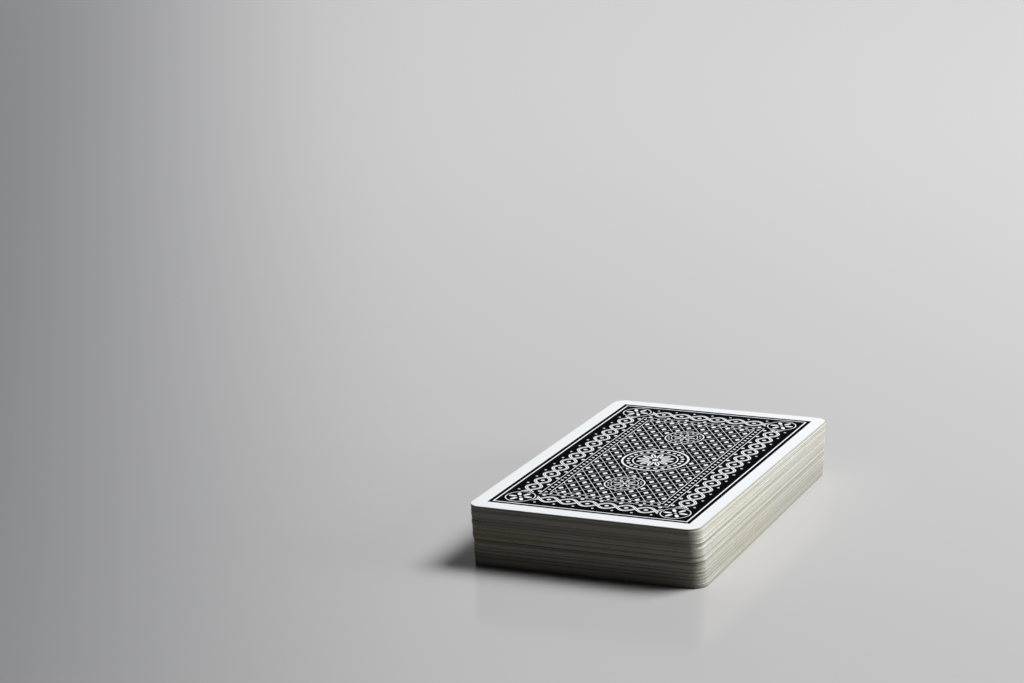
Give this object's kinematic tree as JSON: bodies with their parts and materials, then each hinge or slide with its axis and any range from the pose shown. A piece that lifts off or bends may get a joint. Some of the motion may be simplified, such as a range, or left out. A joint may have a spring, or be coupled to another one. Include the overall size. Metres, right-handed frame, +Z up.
{
  "type": "playing card deck",
  "caption": "Pack of loose bridge-size playing cards, squared by hand and lying face down; any card draws out of either short end.",
  "frame": {"origin": "middle of the pack's box, on the plane of the lowest card's face, which lies on the table", "axes": "+Z up through the pack, from the lowest card to the highest; Y along the long side of the cards, X along the short side"},
  "size_m": [0.0588, 0.0892, 0.014],
  "materials": {
    "coated_card": "white coated card stock, printed black and red, with a thin satin varnish and cream cut edges"
  },
  "bodies": {
    "ace_of_hearts": {"ace_of_hearts": "coated_card"},
    "two_of_hearts": {"two_of_hearts": "coated_card"},
    "three_of_hearts": {"three_of_hearts": "coated_card"},
    "four_of_hearts": {"four_of_hearts": "coated_card"},
    "five_of_hearts": {"five_of_hearts": "coated_card"},
    "six_of_hearts": {"six_of_hearts": "coated_card"},
    "seven_of_hearts": {"seven_of_hearts": "coated_card"},
    "eight_of_hearts": {"eight_of_hearts": "coated_card"},
    "nine_of_hearts": {"nine_of_hearts": "coated_card"},
    "ten_of_hearts": {"ten_of_hearts": "coated_card"},
    "jack_of_hearts": {"jack_of_hearts": "coated_card"},
    "queen_of_hearts": {"queen_of_hearts": "coated_card"},
    "king_of_hearts": {"king_of_hearts": "coated_card"},
    "ace_of_clubs": {"ace_of_clubs": "coated_card"},
    "two_of_clubs": {"two_of_clubs": "coated_card"},
    "three_of_clubs": {"three_of_clubs": "coated_card"},
    "four_of_clubs": {"four_of_clubs": "coated_card"},
    "five_of_clubs": {"five_of_clubs": "coated_card"},
    "six_of_clubs": {"six_of_clubs": "coated_card"},
    "seven_of_clubs": {"seven_of_clubs": "coated_card"},
    "eight_of_clubs": {"eight_of_clubs": "coated_card"},
    "nine_of_clubs": {"nine_of_clubs": "coated_card"},
    "ten_of_clubs": {"ten_of_clubs": "coated_card"},
    "jack_of_clubs": {"jack_of_clubs": "coated_card"},
    "queen_of_clubs": {"queen_of_clubs": "coated_card"},
    "king_of_clubs": {"king_of_clubs": "coated_card"},
    "king_of_diamonds": {"king_of_diamonds": "coated_card"},
    "queen_of_diamonds": {"queen_of_diamonds": "coated_card"},
    "jack_of_diamonds": {"jack_of_diamonds": "coated_card"},
    "ten_of_diamonds": {"ten_of_diamonds": "coated_card"},
    "nine_of_diamonds": {"nine_of_diamonds": "coated_card"},
    "eight_of_diamonds": {"eight_of_diamonds": "coated_card"},
    "seven_of_diamonds": {"seven_of_diamonds": "coated_card"},
    "six_of_diamonds": {"six_of_diamonds": "coated_card"},
    "five_of_diamonds": {"five_of_diamonds": "coated_card"},
    "four_of_diamonds": {"four_of_diamonds": "coated_card"},
    "three_of_diamonds": {"three_of_diamonds": "coated_card"},
    "two_of_diamonds": {"two_of_diamonds": "coated_card"},
    "ace_of_diamonds": {"ace_of_diamonds": "coated_card"},
    "king_of_spades": {"king_of_spades": "coated_card"},
    "queen_of_spades": {"queen_of_spades": "coated_card"},
    "jack_of_spades": {"jack_of_spades": "coated_card"},
    "ten_of_spades": {"ten_of_spades": "coated_card"},
    "nine_of_spades": {"nine_of_spades": "coated_card"},
    "eight_of_spades": {"eight_of_spades": "coated_card"},
    "seven_of_spades": {"seven_of_spades": "coated_card"},
    "six_of_spades": {"six_of_spades": "coated_card"},
    "five_of_spades": {"five_of_spades": "coated_card"},
    "four_of_spades": {"four_of_spades": "coated_card"},
    "three_of_spades": {"three_of_spades": "coated_card"},
    "two_of_spades": {"two_of_spades": "coated_card"},
    "ace_of_spades": {"ace_of_spades": "coated_card"},
    "joker_1": {"joker_1": "coated_card"},
    "joker_2": {"joker_2": "coated_card"}
  },
  "joints": [
    {"name": "joker_2_draw", "type": "slide", "parent": "ace_of_hearts", "child": "joker_2", "axis": [0, -1, 0], "range_m": [-0.04, 0.04]},
    {"name": "joker_1_draw", "type": "slide", "parent": "ace_of_hearts", "child": "joker_1", "axis": [0, -1, 0], "range_m": [-0.06, 0.06]},
    {"name": "ace_of_spades_draw", "type": "slide", "parent": "ace_of_hearts", "child": "ace_of_spades", "axis": [0, -1, 0], "range_m": [-0.06, 0.06]},
    {"name": "two_of_spades_draw", "type": "slide", "parent": "ace_of_hearts", "child": "two_of_spades", "axis": [0, -1, 0], "range_m": [-0.06, 0.06]},
    {"name": "three_of_spades_draw", "type": "slide", "parent": "ace_of_hearts", "child": "three_of_spades", "axis": [0, -1, 0], "range_m": [-0.06, 0.06]},
    {"name": "four_of_spades_draw", "type": "slide", "parent": "ace_of_hearts", "child": "four_of_spades", "axis": [0, -1, 0], "range_m": [-0.06, 0.06]},
    {"name": "five_of_spades_draw", "type": "slide", "parent": "ace_of_hearts", "child": "five_of_spades", "axis": [0, -1, 0], "range_m": [-0.06, 0.06]},
    {"name": "six_of_spades_draw", "type": "slide", "parent": "ace_of_hearts", "child": "six_of_spades", "axis": [0, -1, 0], "range_m": [-0.06, 0.06]},
    {"name": "seven_of_spades_draw", "type": "slide", "parent": "ace_of_hearts", "child": "seven_of_spades", "axis": [0, -1, 0], "range_m": [-0.06, 0.06]},
    {"name": "eight_of_spades_draw", "type": "slide", "parent": "ace_of_hearts", "child": "eight_of_spades", "axis": [0, -1, 0], "range_m": [-0.06, 0.06]},
    {"name": "nine_of_spades_draw", "type": "slide", "parent": "ace_of_hearts", "child": "nine_of_spades", "axis": [0, -1, 0], "range_m": [-0.06, 0.06]},
    {"name": "ten_of_spades_draw", "type": "slide", "parent": "ace_of_hearts", "child": "ten_of_spades", "axis": [0, -1, 0], "range_m": [-0.06, 0.06]},
    {"name": "jack_of_spades_draw", "type": "slide", "parent": "ace_of_hearts", "child": "jack_of_spades", "axis": [0, -1, 0], "range_m": [-0.06, 0.06]},
    {"name": "queen_of_spades_draw", "type": "slide", "parent": "ace_of_hearts", "child": "queen_of_spades", "axis": [0, -1, 0], "range_m": [-0.06, 0.06]},
    {"name": "king_of_spades_draw", "type": "slide", "parent": "ace_of_hearts", "child": "king_of_spades", "axis": [0, -1, 0], "range_m": [-0.06, 0.06]},
    {"name": "ace_of_diamonds_draw", "type": "slide", "parent": "ace_of_hearts", "child": "ace_of_diamonds", "axis": [0, -1, 0], "range_m": [-0.06, 0.06]},
    {"name": "two_of_diamonds_draw", "type": "slide", "parent": "ace_of_hearts", "child": "two_of_diamonds", "axis": [0, -1, 0], "range_m": [-0.06, 0.06]},
    {"name": "three_of_diamonds_draw", "type": "slide", "parent": "ace_of_hearts", "child": "three_of_diamonds", "axis": [0, -1, 0], "range_m": [-0.06, 0.06]},
    {"name": "four_of_diamonds_draw", "type": "slide", "parent": "ace_of_hearts", "child": "four_of_diamonds", "axis": [0, -1, 0], "range_m": [-0.06, 0.06]},
    {"name": "five_of_diamonds_draw", "type": "slide", "parent": "ace_of_hearts", "child": "five_of_diamonds", "axis": [0, -1, 0], "range_m": [-0.06, 0.06]},
    {"name": "six_of_diamonds_draw", "type": "slide", "parent": "ace_of_hearts", "child": "six_of_diamonds", "axis": [0, -1, 0], "range_m": [-0.06, 0.06]},
    {"name": "seven_of_diamonds_draw", "type": "slide", "parent": "ace_of_hearts", "child": "seven_of_diamonds", "axis": [0, -1, 0], "range_m": [-0.06, 0.06]},
    {"name": "eight_of_diamonds_draw", "type": "slide", "parent": "ace_of_hearts", "child": "eight_of_diamonds", "axis": [0, -1, 0], "range_m": [-0.06, 0.06]},
    {"name": "nine_of_diamonds_draw", "type": "slide", "parent": "ace_of_hearts", "child": "nine_of_diamonds", "axis": [0, -1, 0], "range_m": [-0.06, 0.06]},
    {"name": "ten_of_diamonds_draw", "type": "slide", "parent": "ace_of_hearts", "child": "ten_of_diamonds", "axis": [0, -1, 0], "range_m": [-0.06, 0.06]},
    {"name": "jack_of_diamonds_draw", "type": "slide", "parent": "ace_of_hearts", "child": "jack_of_diamonds", "axis": [0, -1, 0], "range_m": [-0.06, 0.06]},
    {"name": "queen_of_diamonds_draw", "type": "slide", "parent": "ace_of_hearts", "child": "queen_of_diamonds", "axis": [0, -1, 0], "range_m": [-0.06, 0.06]},
    {"name": "king_of_diamonds_draw", "type": "slide", "parent": "ace_of_hearts", "child": "king_of_diamonds", "axis": [0, -1, 0], "range_m": [-0.06, 0.06]},
    {"name": "king_of_clubs_draw", "type": "slide", "parent": "ace_of_hearts", "child": "king_of_clubs", "axis": [0, -1, 0], "range_m": [-0.06, 0.06]},
    {"name": "queen_of_clubs_draw", "type": "slide", "parent": "ace_of_hearts", "child": "queen_of_clubs", "axis": [0, -1, 0], "range_m": [-0.06, 0.06]},
    {"name": "jack_of_clubs_draw", "type": "slide", "parent": "ace_of_hearts", "child": "jack_of_clubs", "axis": [0, -1, 0], "range_m": [-0.06, 0.06]},
    {"name": "ten_of_clubs_draw", "type": "slide", "parent": "ace_of_hearts", "child": "ten_of_clubs", "axis": [0, -1, 0], "range_m": [-0.06, 0.06]},
    {"name": "nine_of_clubs_draw", "type": "slide", "parent": "ace_of_hearts", "child": "nine_of_clubs", "axis": [0, -1, 0], "range_m": [-0.06, 0.06]},
    {"name": "eight_of_clubs_draw", "type": "slide", "parent": "ace_of_hearts", "child": "eight_of_clubs", "axis": [0, -1, 0], "range_m": [-0.06, 0.06]},
    {"name": "seven_of_clubs_draw", "type": "slide", "parent": "ace_of_hearts", "child": "seven_of_clubs", "axis": [0, -1, 0], "range_m": [-0.06, 0.06]},
    {"name": "six_of_clubs_draw", "type": "slide", "parent": "ace_of_hearts", "child": "six_of_clubs", "axis": [0, -1, 0], "range_m": [-0.06, 0.06]},
    {"name": "five_of_clubs_draw", "type": "slide", "parent": "ace_of_hearts", "child": "five_of_clubs", "axis": [0, -1, 0], "range_m": [-0.06, 0.06]},
    {"name": "four_of_clubs_draw", "type": "slide", "parent": "ace_of_hearts", "child": "four_of_clubs", "axis": [0, -1, 0], "range_m": [-0.06, 0.06]},
    {"name": "three_of_clubs_draw", "type": "slide", "parent": "ace_of_hearts", "child": "three_of_clubs", "axis": [0, -1, 0], "range_m": [-0.06, 0.06]},
    {"name": "two_of_clubs_draw", "type": "slide", "parent": "ace_of_hearts", "child": "two_of_clubs", "axis": [0, -1, 0], "range_m": [-0.06, 0.06]},
    {"name": "ace_of_clubs_draw", "type": "slide", "parent": "ace_of_hearts", "child": "ace_of_clubs", "axis": [0, -1, 0], "range_m": [-0.06, 0.06]},
    {"name": "king_of_hearts_draw", "type": "slide", "parent": "ace_of_hearts", "child": "king_of_hearts", "axis": [0, -1, 0], "range_m": [-0.06, 0.06]},
    {"name": "queen_of_hearts_draw", "type": "slide", "parent": "ace_of_hearts", "child": "queen_of_hearts", "axis": [0, -1, 0], "range_m": [-0.06, 0.06]},
    {"name": "jack_of_hearts_draw", "type": "slide", "parent": "ace_of_hearts", "child": "jack_of_hearts", "axis": [0, -1, 0], "range_m": [-0.06, 0.06]},
    {"name": "ten_of_hearts_draw", "type": "slide", "parent": "ace_of_hearts", "child": "ten_of_hearts", "axis": [0, -1, 0], "range_m": [-0.06, 0.06]},
    {"name": "nine_of_hearts_draw", "type": "slide", "parent": "ace_of_hearts", "child": "nine_of_hearts", "axis": [0, -1, 0], "range_m": [-0.06, 0.06]},
    {"name": "eight_of_hearts_draw", "type": "slide", "parent": "ace_of_hearts", "child": "eight_of_hearts", "axis": [0, -1, 0], "range_m": [-0.06, 0.06]},
    {"name": "seven_of_hearts_draw", "type": "slide", "parent": "ace_of_hearts", "child": "seven_of_hearts", "axis": [0, -1, 0], "range_m": [-0.06, 0.06]},
    {"name": "six_of_hearts_draw", "type": "slide", "parent": "ace_of_hearts", "child": "six_of_hearts", "axis": [0, -1, 0], "range_m": [-0.06, 0.06]},
    {"name": "five_of_hearts_draw", "type": "slide", "parent": "ace_of_hearts", "child": "five_of_hearts", "axis": [0, -1, 0], "range_m": [-0.06, 0.06]},
    {"name": "four_of_hearts_draw", "type": "slide", "parent": "ace_of_hearts", "child": "four_of_hearts", "axis": [0, -1, 0], "range_m": [-0.06, 0.06]},
    {"name": "three_of_hearts_draw", "type": "slide", "parent": "ace_of_hearts", "child": "three_of_hearts", "axis": [0, -1, 0], "range_m": [-0.06, 0.06]},
    {"name": "two_of_hearts_draw", "type": "slide", "parent": "ace_of_hearts", "child": "two_of_hearts", "axis": [0, -1, 0], "range_m": [-0.06, 0.06]}
  ]
}
